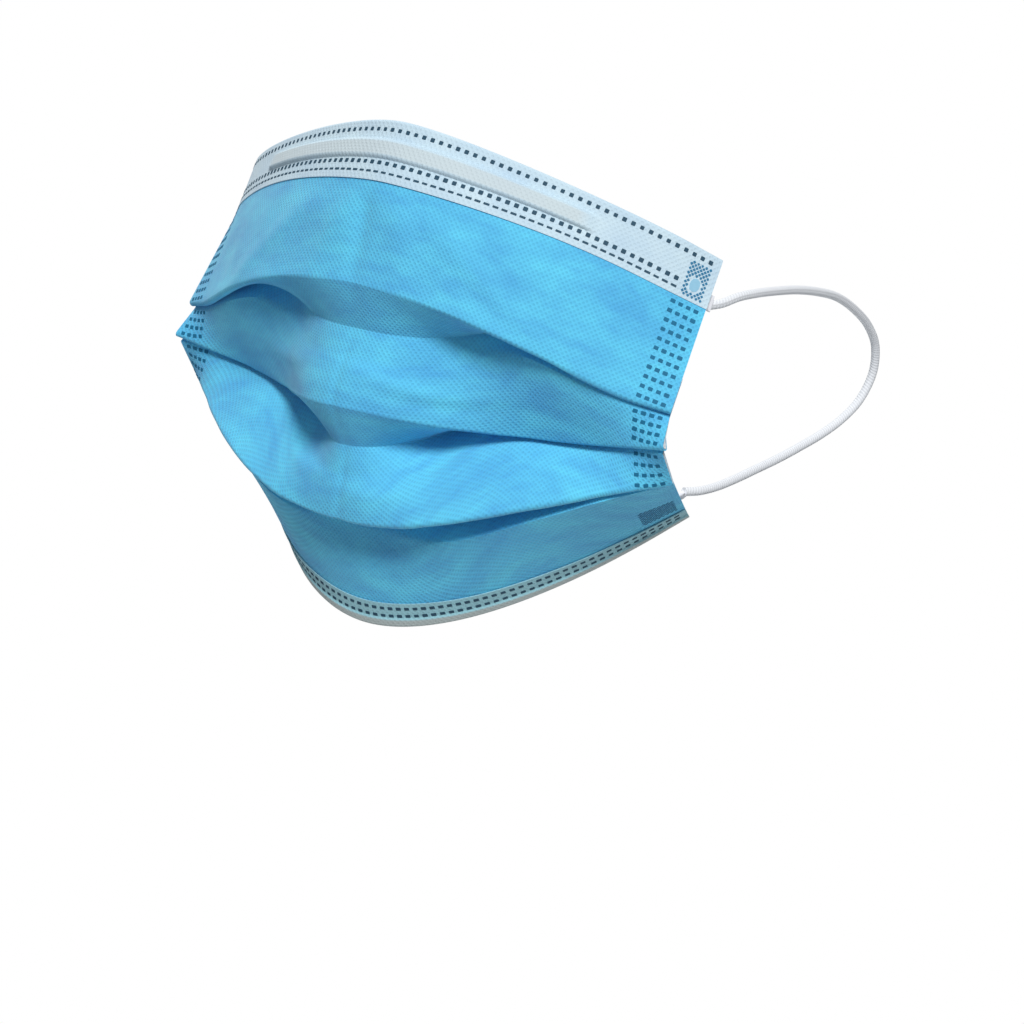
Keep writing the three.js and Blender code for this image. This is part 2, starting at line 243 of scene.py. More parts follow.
def section_corners(side):
    """The corners of the cloth's section at each station, before the folds are rounded."""
    corners = []
    start = LINES[0].at(side)
    begin = start
    for i, pleat in enumerate(PLEATS):
        tip = LINES[i + 1].at(side)
        down = unit(tip - begin)
        inward = inward_of(LINES[i + 1].tangent(side), down)
        swing = tuck_swing(pleat, side)
        shut = smooth((np.degrees(swing) - SHUT_FROM) / SHUT_SPAN)
        depth = TUCK_CENTRE * (1 - shut) + TUCK_SIDE * shut
        back = np.sin(swing) * depth
        root = tip + down * (np.cos(swing) * depth)[..., None] + inward * back[..., None]
        following = LINES[i + 2].at(side)
        gap = np.linalg.norm(following - root, axis=-1)
        straight = mix(root, following, depth / (depth + gap))
        set_back = LAYER_PITCH + (back - LAYER_PITCH) * pleat[4]
        behind = tip + inward * set_back[..., None] + down * SHADOW_DROP
        if i == 1:  # this tuck is caught a little short of the side edges
            near = smooth((np.abs(side) * HALF_WIDTH - TUCK_SHORT_FROM) / TUCK_SHORT_SPAN)
            short = LINES[i + 1].tangent(side) * (np.sign(side) * near * TUCK_SHORT)[..., None]
            root, behind = root - short, behind - short * 0.6
        shadow = mix(straight, behind, shut)
        corners.append({"begin": begin, "start": start, "tip": tip, "root": root,
                        "shadow": shadow, "inward": inward})
        start, begin = root, shadow
    corners.append({"begin": begin, "start": start, "tip": LINES[-1].at(side)})
    return corners


def bend(tip, into, out_of, aside):
    """The points of one fold, rounded to the bend radius, between two directions."""
    square = unit(aside - into * (aside * into).sum(-1, keepdims=True))
    turn = np.arctan2((out_of * square).sum(-1), (out_of * into).sum(-1))
    reach = (BEND_RADIUS * np.tan(np.abs(turn) / 4))[..., None]
    across = into * np.cos(turn / 2)[..., None] + square * np.sin(turn / 2)[..., None]
    first, second = tip - across * reach, tip + across * reach
    weight = np.cos(turn / 4)[..., None]
    points = []
    for a, b, c in ((first - into * reach, first, tip), (tip, second, second + out_of * reach)):
        for i in range(1 if points else 0, BEND_STEPS + 1):
            t = i / BEND_STEPS
            wa, wb, wc = (1 - t) ** 2, 2 * t * (1 - t) * weight, t * t
            points.append((a * wa + b * wb + c * wc) / (wa + wb + wc))
    return points


def bulge_at(panel, side, share):
    fade = np.cos(np.minimum(1.0, np.abs(side)) * math.pi / 2) ** 2
    swell = np.sin(math.pi * share)
    if panel == 0:
        swell = swell ** 2  # the hem at the top edge stays flat
    return (PANELS[panel][1] * fade * swell)[..., None]


def top_point(side, drop):
    corner = section_corners(side)[0]
    share = drop / np.linalg.norm(corner["tip"] - corner["start"], axis=-1)
    flat = mix(corner["start"], corner["tip"], share)
    return flat - corner["inward"] * bulge_at(0, side, share)


def hem_point(side, drop):
    """The top panel by its share of the top hem, which is a little deeper over the nose."""
    deeper = 1 + NOSE_DEEPENING * (1 - smooth(np.abs(side) * HALF_WIDTH / NOSE_REACH))
    return top_point(side, drop * deeper)


def bottom_point(side, rise):
    last = section_corners(side)[-1]
    share = rise / np.linalg.norm(last["tip"] - last["begin"], axis=-1)
    inward = inward_of(LINES[-1].tangent(side), unit(last["tip"] - last["begin"]))
    return mix(last["tip"], last["begin"], share) - inward * bulge_at(3, side, share)


def middle_point(panel):
    """The second or third panel by its share from the fold above it to its own lower edge."""

    def point(side, drop):
        corners = section_corners(side)
        shade, tip = corners[panel - 1]["shadow"], corners[panel]["tip"]
        share = drop / np.linalg.norm(tip - shade, axis=-1)
        return mix(shade, tip, share) - corners[panel]["inward"] * bulge_at(panel, side, share)

    return point


def frame_of(surface, side, drop, down_sign=1.0):
    side, drop = np.broadcast_arrays(np.asarray(side, float), np.asarray(drop, float))
    point = surface(side, drop)
    along = unit(surface(side + SIDE_NUDGE, drop) - surface(side - SIDE_NUDGE, drop))
    down = unit(surface(side, drop + DROP_NUDGE) - surface(side, drop - DROP_NUDGE)) * down_sign
    return point, along, down, inward_of(along, down)


def body_section(side):
    """The whole section of the pleated panel, from the top edge to the bottom edge, row by row."""
    corners = section_corners(side)
    tuck = HEM_OFFSET + HEM_WALL / 2
    rows = []
    for i in range(len(PLEATS)):
        here = corners[i]
        outer = bend(here["tip"], unit(here["tip"] - here["begin"]),
                     unit(here["root"] - here["tip"]), here["inward"])
        inner = bend(here["root"], unit(here["root"] - here["tip"]),
                     unit(here["shadow"] - here["root"]), -here["inward"])
        if i == 0:
            skipped = tuck / np.linalg.norm(here["tip"] - here["start"], axis=-1)
            base = mix(here["start"], here["tip"], skipped)
        else:
            skipped, base = np.zeros(side.shape), corners[i - 1]["shadow"]
            begin = rows[-1]
            rows += [mix(begin, base, j / SHADE_STEPS) for j in range(1, SHADE_STEPS)]
        for j in range(PANELS[i][2]):
            share = j / PANELS[i][2]
            lift = bulge_at(i, side, skipped + (1 - skipped) * share)
            rows.append(mix(base, outer[0], share) - here["inward"] * lift)
        rows += outer
        rows += [mix(outer[-1], inner[0], j / TUCK_STEPS) for j in range(1, TUCK_STEPS)]
        rows += inner
    last = corners[-1]
    begin = rows[-1]
    rows += [mix(begin, last["begin"], j / SHADE_STEPS) for j in range(1, SHADE_STEPS)]
    whole = np.linalg.norm(last["tip"] - last["begin"], axis=-1)
    steps = PANELS[-1][2]
    for j in range(steps, -1, -1):
        rows.append(bottom_point(side, tuck + (whole - tuck) * j / steps))
    return np.stack(rows, axis=1)


def crease_lift(across, down):
    """Height of the soft creases at each point of the unfolded cloth, positive outwards."""
    lift = np.zeros(across.shape)
    for _, x, y, lean, half_length, half_width, height in CREASES:
        angle = math.radians(lean)
        dx, dy = across - x, down - y
        along = dx * math.sin(angle) + dy * math.cos(angle)
        aside = dx * math.cos(angle) - dy * math.sin(angle)
        lift += height * np.exp(-(along / half_length) ** 2 - (aside / half_width) ** 2)
    ripple = 0.10 * np.sin(across / 7.3 + down / 19.0) * np.sin(down / 5.1 - across / 31.0)
    ripple += 0.05 * np.sin(across / 2.9 - down / 6.1 + 1.3) * np.sin(down / 3.7 + across / 9.0)
    fade = 1 - smooth((np.abs(across) - CREASE_FADE_FROM) / CREASE_FADE_SPAN)
    up = down.max(axis=-1, keepdims=True) - down
    fade *= smooth((down - CALM_TOP) / CALM_SPAN) * smooth((up - CALM_BOTTOM) / CALM_SPAN)
    return (lift + ripple) * fade


def grid_frames(grid):
    """Unit inward normals at every point of a grid of stations by rows."""
    def mean_step(axis):
        step = unit(np.diff(grid, axis=axis))
        first = np.take(step, [0], axis=axis)
        last = np.take(step, [-1], axis=axis)
        before = np.concatenate([first, step], axis=axis)
        after = np.concatenate([step, last], axis=axis)
        return unit(before + after)

    return inward_of(mean_step(0), mean_step(1))


def cloth_lengths(grid):
    """How far down the cloth each row lies at each station, in millimetres."""
    steps = np.linalg.norm(np.diff(grid, axis=1), axis=-1)
    return np.concatenate([np.zeros((grid.shape[0], 1)), np.cumsum(steps, axis=1)], axis=1)


def link(obj):
    bpy.context.scene.collection.objects.link(obj)
    return obj


def sharpen(mesh, angle=50.0):
    bm = bmesh.new()
    bm.from_mesh(mesh)
    for face in bm.faces:
        face.smooth = True
    limit = math.radians(angle)
    for edge in bm.edges:
        edge.smooth = len(edge.link_faces) == 2 and edge.calc_face_angle(0.0) < limit
    bm.to_mesh(mesh)
    bm.free()


def grid_faces(across, rows):
    i, j = np.meshgrid(np.arange(across - 1), np.arange(rows - 1), indexing="ij")
    a = (i * rows + j).ravel()
    outer = np.stack([a, a + 1, a + rows + 1, a + rows], 1)
    return outer, np.stack([a, a + rows, a + rows + 1, a + 1], 1)


def write_map(mesh, flat):
    """Gives every vertex its place on the flat cloth, in millimetres."""
    layer = mesh.uv_layers.new(name="cloth_mm")
    loops = np.empty(len(mesh.loops), np.int32)
    mesh.loops.foreach_get("vertex_index", loops)
    layer.data.foreach_set("uv", flat[loops].ravel().astype(np.float32))


def closed_sheet(name, grid, wall, cloth_uv, offset=0.0, normals=None):
    """A closed sheet round a grid of points, with a map in millimetres of the flat cloth on it."""
    across, rows = grid.shape[:2]
    inward = grid_frames(grid) if normals is None else normals
    outer = grid + inward * (offset - wall / 2)
    inner = grid + inward * (offset + wall / 2)
    shift = across * rows
    front, back = grid_faces(across, rows)
    k = np.arange(across - 1)
    low, high = k * rows, k * rows + rows - 1
    top = np.stack([low, low + rows, shift + low + rows, shift + low], 1)
    end = np.stack([high + rows, high, shift + high, shift + high + rows], 1)
    m = np.arange(rows - 1)
    far = (across - 1) * rows + m
    near_side = np.stack([m + 1, m, shift + m, shift + m + 1], 1)
    far_side = np.stack([far, far + 1, shift + far + 1, shift + far], 1)
    faces = np.vstack([front, back + shift, top, end, near_side, far_side])
    verts = np.vstack([outer.reshape(-1, 3), inner.reshape(-1, 3)]) * MM
    mesh = bpy.data.meshes.new(name)
    mesh.from_pydata(verts.tolist(), [], faces.tolist())
    write_map(mesh, np.vstack([cloth_uv.reshape(-1, 2)] * 2))
    mesh.validate()
    sharpen(mesh)
    return link(bpy.data.objects.new(name, mesh))


def wire_lift(drop, side):
    end = np.clip((np.abs(side) * HALF_WIDTH - WIRE_HALF) / 4.0, 0.0, 1.0)
    rise = smooth((drop - (WIRE_FROM - WIRE_SHOULDER)) / WIRE_SHOULDER)
    fall = 1 - smooth((drop - WIRE_TO) / WIRE_SHOULDER)
    return WIRE_LIFT * rise * fall * (1 - smooth(end))


def roll_lift(rise, side):
    """The rolled border of the bottom hem stands proud of the strip above it."""
    return ROLL_LIFT * (1 - smooth((rise - ROLL_HEIGHT) / 0.5)) * np.ones_like(side)


def hem_grid(surface, side, down_sign, depth, lift, rows_down):
    """A strip folded over an edge: up the outside, round the edge and down the inside."""
    drops = np.linspace(depth, HEM_OFFSET + HEM_WALL / 2, rows_down)
    outside, inside, offsets = [], [], []
    for drop in drops:
        point, _, down, inward = frame_of(surface, side, np.full_like(side, drop), down_sign)
        rise = lift(np.full_like(side, drop), side)[:, None]
        outside.append(point - inward * (HEM_OFFSET + rise))
        inside.append(point + inward * HEM_OFFSET)
        offsets.append(rise)
    turn = []
    beyond = down * -down_sign
    for i in range(1, HEM_TURN_STEPS):
        angle = math.pi * i / HEM_TURN_STEPS
        reach = HEM_OFFSET + offsets[-1] * (1 - i / HEM_TURN_STEPS)
        turn.append(point - inward * math.cos(angle) * reach
                    + beyond * math.sin(angle) * HEM_OFFSET)
    return np.stack(outside + turn + inside[::-1], axis=1)


def strip_uv(grid, side):
    """The strip's map: every station takes the lengths of the last one, so bands run level."""
    lengths = np.repeat(cloth_lengths(grid)[-1:], len(side), 0)
    across = np.repeat((side * HALF_WIDTH)[:, None], grid.shape[1], 1)
    return np.stack([across, lengths], -1)


# ---- finishes ----
def add_node(tree, kind, links=(), **values):
    """Adds a node; each link names an input and gives a socket to join or a value to set."""
    node = tree.nodes.new(kind)
    for key, value in values.items():
        setattr(node, key, value)
    for socket, source in links:
        if isinstance(source, bpy.types.NodeSocket):
            tree.links.new(source, node.inputs[socket])
        else:
            node.inputs[socket].default_value = source
    return node


class Finish:
    """A node-built finish that reads the cloth's own map in millimetres."""

    def __init__(self, name):
        self.material = bpy.data.materials.new(name)
        self.material.use_nodes = True
        self.tree = self.material.node_tree
        self.tree.nodes.clear()
        out = self.tree.nodes.new("ShaderNodeOutputMaterial")
        self.shader = self.tree.nodes.new("ShaderNodeBsdfPrincipled")
        self.tree.links.new(self.shader.outputs[0], out.inputs[0])

    def node(self, kind, links=(), **values):
        return add_node(self.tree, kind, links, **values)

    def math(self, operation, a, b=0.0, clamp=False):
        node = self.node("ShaderNodeMath", [(0, a), (1, b)], operation=operation)
        node.use_clamp = clamp
        return node.outputs[0]

    def blend(self, share, a, b):
        return self.node("ShaderNodeMix", [(0, share), (6, a), (7, b)],
                         data_type="RGBA").outputs[2]

    def shade(self, colour, roughness, sheen, height=None, depth=0.05):
        self.tree.links.new(colour, self.shader.inputs["Base Color"])
        for label, value in (("Roughness", roughness), ("Specular IOR Level", 0.3),
                             ("Sheen Weight", sheen), ("Sheen Roughness", 0.5)):
            self.shader.inputs[label].default_value = value
        if height is not None:
            bump = self.node("ShaderNodeBump", [("Height", height), ("Strength", 1.0),
                                                ("Distance", depth * MM)])
            self.tree.links.new(bump.outputs[0], self.shader.inputs["Normal"])
        return self.material

    def cloth_map(self, scale=(1, 1, 1), turn=0.0):
        uv = self.node("ShaderNodeUVMap", uv_map="cloth_mm")
        return self.node("ShaderNodeMapping", [("Vector", uv.outputs[0]), ("Scale", scale),
                                               ("Rotation", (0, 0, turn))]).outputs[0]

    def noise(self, vector, scale, detail=3.0, rough=0.6):
        return self.node("ShaderNodeTexNoise", [("Vector", vector), ("Scale", scale),
                                                ("Detail", detail),
                                                ("Roughness", rough)]).outputs[0]


def rgba(colour):
    return (*tuple(colour)[:3], 1.0)


def tint(colour, factor):
    return tuple(min(1.0, c * factor) for c in tuple(colour)[:3]) + (1.0,)


def nonwoven(name, colour, pitch, dimple, cloud, relief, band=None):
    """Point-bonded cloth: rows of pressed dimples, loose fibres and cloudy density."""
    f = Finish(name)
    lattice = f.cloth_map((1 / pitch, 1 / pitch, 1), math.radians(45))
    cell = f.node("ShaderNodeTexVoronoi", [("Vector", lattice), ("Randomness", 0.0),
                                           ("Scale", 1.0)], voronoi_dimensions="2D")
    dots = f.node("ShaderNodeMapRange", [("Value", cell.outputs["Distance"]),
                                         ("From Min", 0.22), ("From Max", 0.40),
                                         ("To Min", 1.0), ("To Max", 0.0)])
    fibres = f.noise(f.cloth_map((1.0, 2.6, 1)), 1.4, 4.0, 0.75)
    cross = f.noise(f.cloth_map((2.4, 0.8, 1), 0.6), 1.1, 4.0, 0.75)
    clouds = f.noise(f.cloth_map((1, 2.4, 1), 0.35), 0.05, 5.0, 0.66)
    strands = f.math("MULTIPLY", fibres, cross)
    pale = f.blend(f.math("MULTIPLY", strands, 0.9, True), tint(colour, 0.90), tint(colour, 1.22))
    level = f.node("ShaderNodeMapRange", [("Value", clouds), ("From Min", 0.34),
                                          ("From Max", 0.66)])
    cloudy = f.blend(f.math("MULTIPLY", level.outputs[0], cloud), pale, tint(colour, 1.5))
    pressed = f.blend(f.math("MULTIPLY", dots.outputs[0], dimple), cloudy, tint(colour, 0.62))
    # a band of flat colour along one line of the cloth; on the top hem it is painted shade along
    # the nose-wire ridge
    if band:
        middle, half, reach, shade = band
        parts = f.node("ShaderNodeSeparateXYZ", [("Vector", f.cloth_map())])
        off_line = f.math("ABSOLUTE", f.math("SUBTRACT", parts.outputs[1], middle))
        inside = f.math("MULTIPLY", f.math("SUBTRACT", half, off_line), 2.5, True)
        short = f.math("SUBTRACT", reach, f.math("ABSOLUTE", parts.outputs[0]))
        ends = f.math("MULTIPLY", short, 0.3, True)
        share = f.math("MULTIPLY", f.math("MULTIPLY", inside, ends), 0.85)
        pressed = f.blend(share, pressed, rgba(shade))
    height = f.math("SUBTRACT", f.math("MULTIPLY", strands, 1.2),
                    f.math("MULTIPLY", dots.outputs[0], 0.7))
    return f.shade(pressed, 0.78, 0.18, height, relief)


def fused(name, colour, deep):
    """Cloth that has been pressed and melted together in a bond."""
    f = Finish(name)
    place = f.node("ShaderNodeTexCoord").outputs["Object"]
    speck = f.noise(place, 900.0, 3.0)
    worn = f.blend(speck, rgba(deep), rgba(colour))
    return f.shade(worn, 0.72, 0.0, speck, 0.03)


def knitted(name, colour):
    """Knitted elastic: yarns that run slantwise round the cord, with shadow between them."""
    f = Finish(name)
    uv = f.cloth_map()
    parts = f.node("ShaderNodeSeparateXYZ", [("Vector", uv)])
    run = f.math("MULTIPLY", parts.outputs[0], 2 * math.pi / KNIT_PITCH)
    lean = f.math("MULTIPLY", parts.outputs[1], 2.2)
    wave = f.math("SINE", f.math("ADD", run, lean))
    groove = f.math("MULTIPLY", f.math("ADD", wave, 1.0), 0.5)
    fuzz = f.noise(f.cloth_map((3, 3, 1)), 2.0, 4.0)
    base = f.blend(groove, tint(colour, 0.80), rgba(colour))
    hazy = f.blend(f.math("MULTIPLY", fuzz, 0.35), base, tint(colour, 1.06))
    return f.shade(hazy, 0.8, 0.3, f.math("ADD", groove, fuzz), 0.06)


def coated_wire(name, colour):
    f = Finish(name)
    place = f.node("ShaderNodeTexCoord").outputs["Object"]
    haze = f.noise(place, 220.0, 2.0)
    return f.shade(f.blend(haze, tint(colour, 0.94), rgba(colour)), 0.5, 0.0, haze, 0.02)


def dress(obj, *materials):
    obj.data.materials.clear()
    for material in materials:
        obj.data.materials.append(material)
    return obj


def finish_piece(obj, slot, *nodes):
    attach(obj, "root")
    if nodes:
        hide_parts(*nodes)
    return obj


# ---- bonds: small pressed plates laid out over the cloth by a node tree ----
def bond_tree(name):
    """Puts one rounded, pressed plate on every point, turned to the cloth under it."""
    tree = bpy.data.node_groups.new(name, "GeometryNodeTree")
    sockets = (
        ("Geometry", "NodeSocketGeometry", None),
        ("Bond Width", "NodeSocketFloat", 1.0 * MM),
        ("Bond Height", "NodeSocketFloat", 1.0 * MM),
        ("Corner", "NodeSocketFloat", 0.25 * MM),
        ("Thickness", "NodeSocketFloat", 0.08 * MM),
        ("Size Spread", "NodeSocketFloat", 0.08),
        ("Seed", "NodeSocketInt", 7),
        ("Finish", "NodeSocketMaterial", None),
    )
    ids = {}
    for label, kind, value in sockets:
        socket = tree.interface.new_socket(label, in_out="INPUT", socket_type=kind)
        if value is not None:
            socket.default_value = value
        ids[label] = socket.identifier
    tree.interface.new_socket("Geometry", in_out="OUTPUT", socket_type="NodeSocketGeometry")

    def node(kind, links=(), **values):
        return add_node(tree, kind, links, **values)

    start = node("NodeGroupInput").outputs
    outline = node("GeometryNodeCurvePrimitiveQuadrilateral",
                   [("Width", start["Bond Width"]), ("Height", start["Bond Height"])])
    rounded = node("GeometryNodeFilletCurve", [("Curve", outline.outputs[0]), ("Count", 2),
                                               ("Radius", start["Corner"])], mode="POLY")
    face = node("GeometryNodeFillCurve", [("Curve", rounded.outputs[0])], mode="NGONS")
    raised = node("GeometryNodeExtrudeMesh", [("Mesh", face.outputs[0]), ("Individual", False),
                                              ("Offset Scale", start["Thickness"])])
    under = node("GeometryNodeFlipFaces", [("Mesh", face.outputs[0])])
    plate = node("GeometryNodeJoinGeometry", [(0, raised.outputs[0])])
    tree.links.new(under.outputs[0], plate.inputs[0])
    welded = node("GeometryNodeMergeByDistance", [("Geometry", plate.outputs[0]),
                                                  ("Distance", 0.002 * MM)])
    facing, along = (node("GeometryNodeInputNamedAttribute", [("Name", label)],
                          data_type="FLOAT_VECTOR").outputs[0] for label in ("facing", "along"))
    turn = node("FunctionNodeAxesToRotation", [(0, facing), (1, along)],
                primary_axis="Z", secondary_axis="X")
    low, high = (node("ShaderNodeMath", [(0, 1.0), (1, start["Size Spread"])],
                      operation=way).outputs[0] for way in ("SUBTRACT", "ADD"))
    spread = node("FunctionNodeRandomValue", [(2, low), (3, high), ("Seed", start["Seed"])],
                  data_type="FLOAT")
    place = node("GeometryNodeInstanceOnPoints",
                 [("Points", start["Geometry"]), ("Instance", welded.outputs[0]),
                  ("Rotation", turn.outputs[0]), ("Scale", spread.outputs[1])])
    real = node("GeometryNodeRealizeInstances", [("Geometry", place.outputs[0])])
    painted = node("GeometryNodeSetMaterial", [("Geometry", real.outputs[0]),
                                               ("Material", start["Finish"])])
    node("NodeGroupOutput", [(0, painted.outputs[0])])
    return tree, ids


def lay_bonds(name, points, facing, along, width, height, thickness, finish, seed=7,
              rounding=0.16):
    """Lays bonds on given points with the node tree and keeps the result as a plain mesh."""
    mesh = bpy.data.meshes.new(name + "_points")
    mesh.from_pydata((points * MM).tolist(), [], [])
    for label, values in (("facing", facing), ("along", along)):
        layer = mesh.attributes.new(label, "FLOAT_VECTOR", "POINT")
        layer.data.foreach_set("vector", values.ravel().astype(np.float32))
    carrier = link(bpy.data.objects.new(name + "_points", mesh))
    tree, ids = bond_tree(name + "_layout")
    modifier = carrier.modifiers.new("bonds", "NODES")
    modifier.node_group = tree
    corner = rounding * min(width, height)
    values = {"Bond Width": width * MM, "Bond Height": height * MM, "Corner": corner * MM,
              "Thickness": thickness * MM, "Size Spread": 0.07, "Seed": seed, "Finish": finish}
    for label, value in values.items():
        modifier[ids[label]] = value
    bpy.context.view_layer.update()
    graph = bpy.context.evaluated_depsgraph_get()
    baked = bpy.data.meshes.new_from_object(carrier.evaluated_get(graph))
    bpy.data.objects.remove(carrier)
    for label in ("facing", "along"):
        if label in baked.attributes:
            baked.attributes.remove(baked.attributes[label])
    if not baked.polygons:
        raise RuntimeError("the bond layout made no faces")
    baked.name = name
    obj = link(bpy.data.objects.new(name, baked))
    dress(obj, finish)
    return obj


def join_pieces(name, parts):
    """Joins the bonds of one seam into one plain mesh."""
    bm = bmesh.new()
    for part in parts:
        bm.from_mesh(part.data)
    mesh = bpy.data.meshes.new(name)
    bm.to_mesh(mesh)
    bm.free()
    material = parts[0].data.materials[0]
    for part in parts:
        bpy.data.objects.remove(part)
    obj = link(bpy.data.objects.new(name, mesh))
    return dress(obj, material)


# ---- elastic cord ----
def cord_centreline(hand):
    """The route as one smooth curve through its points, in evenly spaced rings."""
    route = np.array(CORD_ROUTE) * MM * [hand, 1, 1]
    padded = np.vstack([2 * route[0] - route[1], route, 2 * route[-1] - route[-2]])
    knots = np.concatenate([[0], np.cumsum(np.linalg.norm(np.diff(padded, axis=0), axis=1) ** 0.5)])
    points = []
    for i in range(1, len(padded) - 2):
        for u in np.linspace(knots[i], knots[i + 1], ROUTE_STEPS, endpoint=False):
            p, t = padded[i - 1:i + 3], knots[i - 1:i + 3]
            for low, high in ((t[:3], t[1:]), (t[:2], t[2:]), (t[1:2], t[2:3])):
                p = mix(p[:-1], p[1:], (u - low) / (high - low))
            points.append(p[0])
    points.append(route[-1])
    points = np.array(points)
    lengths = np.concatenate([[0], np.cumsum(np.linalg.norm(np.diff(points, axis=0), axis=1))])
    even = np.linspace(0, lengths[-1], CORD_RINGS)
    line = np.stack([np.interp(even, lengths, points[:, k]) for k in range(3)], -1)
    return line, even


def cord_tube(name, hand, diameter):
    """A closed knitted tube: rows of slanting stitches stand a little proud round the cord."""
    line, run = cord_centreline(hand)
    tangent = unit(np.gradient(line, axis=0))
    side = unit(np.cross(tangent[0], [0, 0, 1.0]))
    sides = [side]
    for t in tangent[1:]:
        side = unit(side - t * side.dot(t))
        sides.append(side)
    sides = np.array(sides)
    ups = np.cross(tangent, sides)
    turn = np.linspace(0, 2 * math.pi, CORD_SIDES, endpoint=False)
    run_mm = run / MM
    stitch = np.abs(np.sin(turn[None] * KNIT_COLUMNS / 2))
    sway = 1.6 * np.cos(turn[None] * KNIT_COLUMNS)
    slant = np.cos(2 * math.pi * run_mm[:, None] / KNIT_PITCH + sway)
    relief = 1 + KNIT_RELIEF * (stitch - 0.6) + 0.5 * KNIT_RELIEF * slant * stitch
    radius = diameter / 2 * relief
    spread = radius[..., None] * (np.cos(turn)[None, :, None] * sides[:, None]
                                  + np.sin(turn)[None, :, None] * ups[:, None])
    rings = line[:, None] + spread
    verts = np.vstack([rings.reshape(-1, 3), line[:1], line[-1:]])
    n = CORD_SIDES
    faces = [(i * n + j, i * n + (j + 1) % n, (i + 1) * n + (j + 1) % n, (i + 1) * n + j)
             for i in range(CORD_RINGS - 1) for j in range(n)]
    first, last = len(verts) - 2, len(verts) - 1
    base = (CORD_RINGS - 1) * n
    for j in range(n):
        k = (j + 1) % n
        faces.append((first, k, j))
        faces.append((last, base + j, base + k))
    mesh = bpy.data.meshes.new(name)
    mesh.from_pydata(verts.tolist(), [], faces)
    around = np.concatenate([np.tile(turn, CORD_RINGS), [0, 0]])
    down = np.concatenate([np.repeat(run_mm, n), [0, run_mm[-1]]])
    write_map(mesh, np.stack([down, around], -1))
    bm = bmesh.new()
    bm.from_mesh(mesh)
    bmesh.ops.recalc_face_normals(bm, faces=bm.faces)
    bm.to_mesh(mesh)
    bm.free()
    sharpen(mesh, 70.0)
    return link(bpy.data.objects.new(name, mesh)), line, float(run[-1])


def rounded_patch(name, surface, sides, drops, down_sign, offset, wall):
    """A small flattened pad that follows the cloth, thinner towards its edges."""
    s, d = np.meshgrid(sides, drops, indexing="ij")
    point, _, _, inward = frame_of(surface, s, d, down_sign)
    grid = point + inward * offset
    uv = np.stack([s * HALF_WIDTH, d], -1)
    u = np.linspace(-1, 1, len(sides))[:, None]
    v = np.linspace(-1, 1, len(drops))[None]
    crown = np.clip(1 - 0.55 * np.maximum(np.abs(u) ** 6, np.abs(v) ** 4), 0.3, 1.0)
    pad = closed_sheet(name, grid, wall * crown[..., None], uv, normals=inward)
    sharpen(pad.data, 60.0)
    return pad


class FaceMaskSizes(bpy.types.PropertyGroup):
    """Sizes of the mask that a maker would change."""
    cord_diameter: bpy.props.FloatProperty(
        name="Cord Diameter", description="Thickness of the round elastic",
        default=CORD_DIAMETER * MM, unit="LENGTH")
    hem_bond_pitch: bpy.props.FloatProperty(
        name="Hem Bond Pitch", description="Distance between bonds along the hems",
        default=2.32 * MM, unit="LENGTH")
    side_bond_pitch: bpy.props.FloatProperty(
        name="Side Bond Pitch", description="Distance between bonds down the side seams",
        default=2.45 * MM, unit="LENGTH")
    crease_strength: bpy.props.FloatProperty(
        name="Crease Strength", description="How strongly the soft creases show",
        default=1.6, unit="NONE")
    floor_drop: bpy.props.FloatProperty(
        name="Floor Drop", description="Height of the mask's lowest edge above the floor",
        default=0.6, unit="LENGTH")


class FaceMaskColours(bpy.types.PropertyGroup):
    """Colours of the cloth, hems, bonds and elastic."""
    outer: bpy.props.FloatVectorProperty(
        name="Outer Ply", description="Blue outer cloth", subtype="COLOR",
        default=(0.095, 0.49, 0.88))
    lining: bpy.props.FloatVectorProperty(
        name="Lining", description="White inner cloth", subtype="COLOR",
        default=(0.80, 0.84, 0.87))
    hem: bpy.props.FloatVectorProperty(
        name="Top Hem", description="White cloth folded over the top edge", subtype="COLOR",
        default=(0.56, 0.735, 0.89))
    edge: bpy.props.FloatVectorProperty(
        name="Bottom Hem", description="Cloth folded over the bottom edge", subtype="COLOR",
        default=(0.32, 0.60, 0.68))
    blue_bond: bpy.props.FloatVectorProperty(
        name="Blue Bond", description="Pressed blue cloth in the side seams", subtype="COLOR",
        default=(0.014, 0.20, 0.38))
    hem_bond: bpy.props.FloatVectorProperty(
        name="Hem Bond", description="Pressed cloth in the hems", subtype="COLOR",
        default=(0.035, 0.10, 0.16))
    elastic: bpy.props.FloatVectorProperty(
        name="Elastic", description="Knitted elastic of the ear loops", subtype="COLOR",
        default=(0.90, 0.92, 0.96))
    wire: bpy.props.FloatVectorProperty(
        name="Wire", description="Coated nose wire", subtype="COLOR",
        default=(0.8, 0.81, 0.82))


def sizes():
    return bpy.context.scene.face_mask_sizes


def colours():
    return bpy.context.scene.face_mask_colours


VIEW_TURN = math.radians(37.93)
VIEW_RISE = math.radians(19.21)
VIEW_DISTANCE = 0.8
VIEW_RIGHT = 0.02667
VIEW_UP = -0.0946
VIEW_LENS = 116.3
SKY_LIGHT = 0.26
FLOOR_REACH = 0.48
LIGHTS = (
    # name, way it comes from (across, toward the camera, up), power, softness in degrees
    ("key_light", (0.10, 0.80, 1.0), 2.65, 18.0),
    ("back_light", (-0.25, -0.9, 0.55), 1.3, 40.0),
)


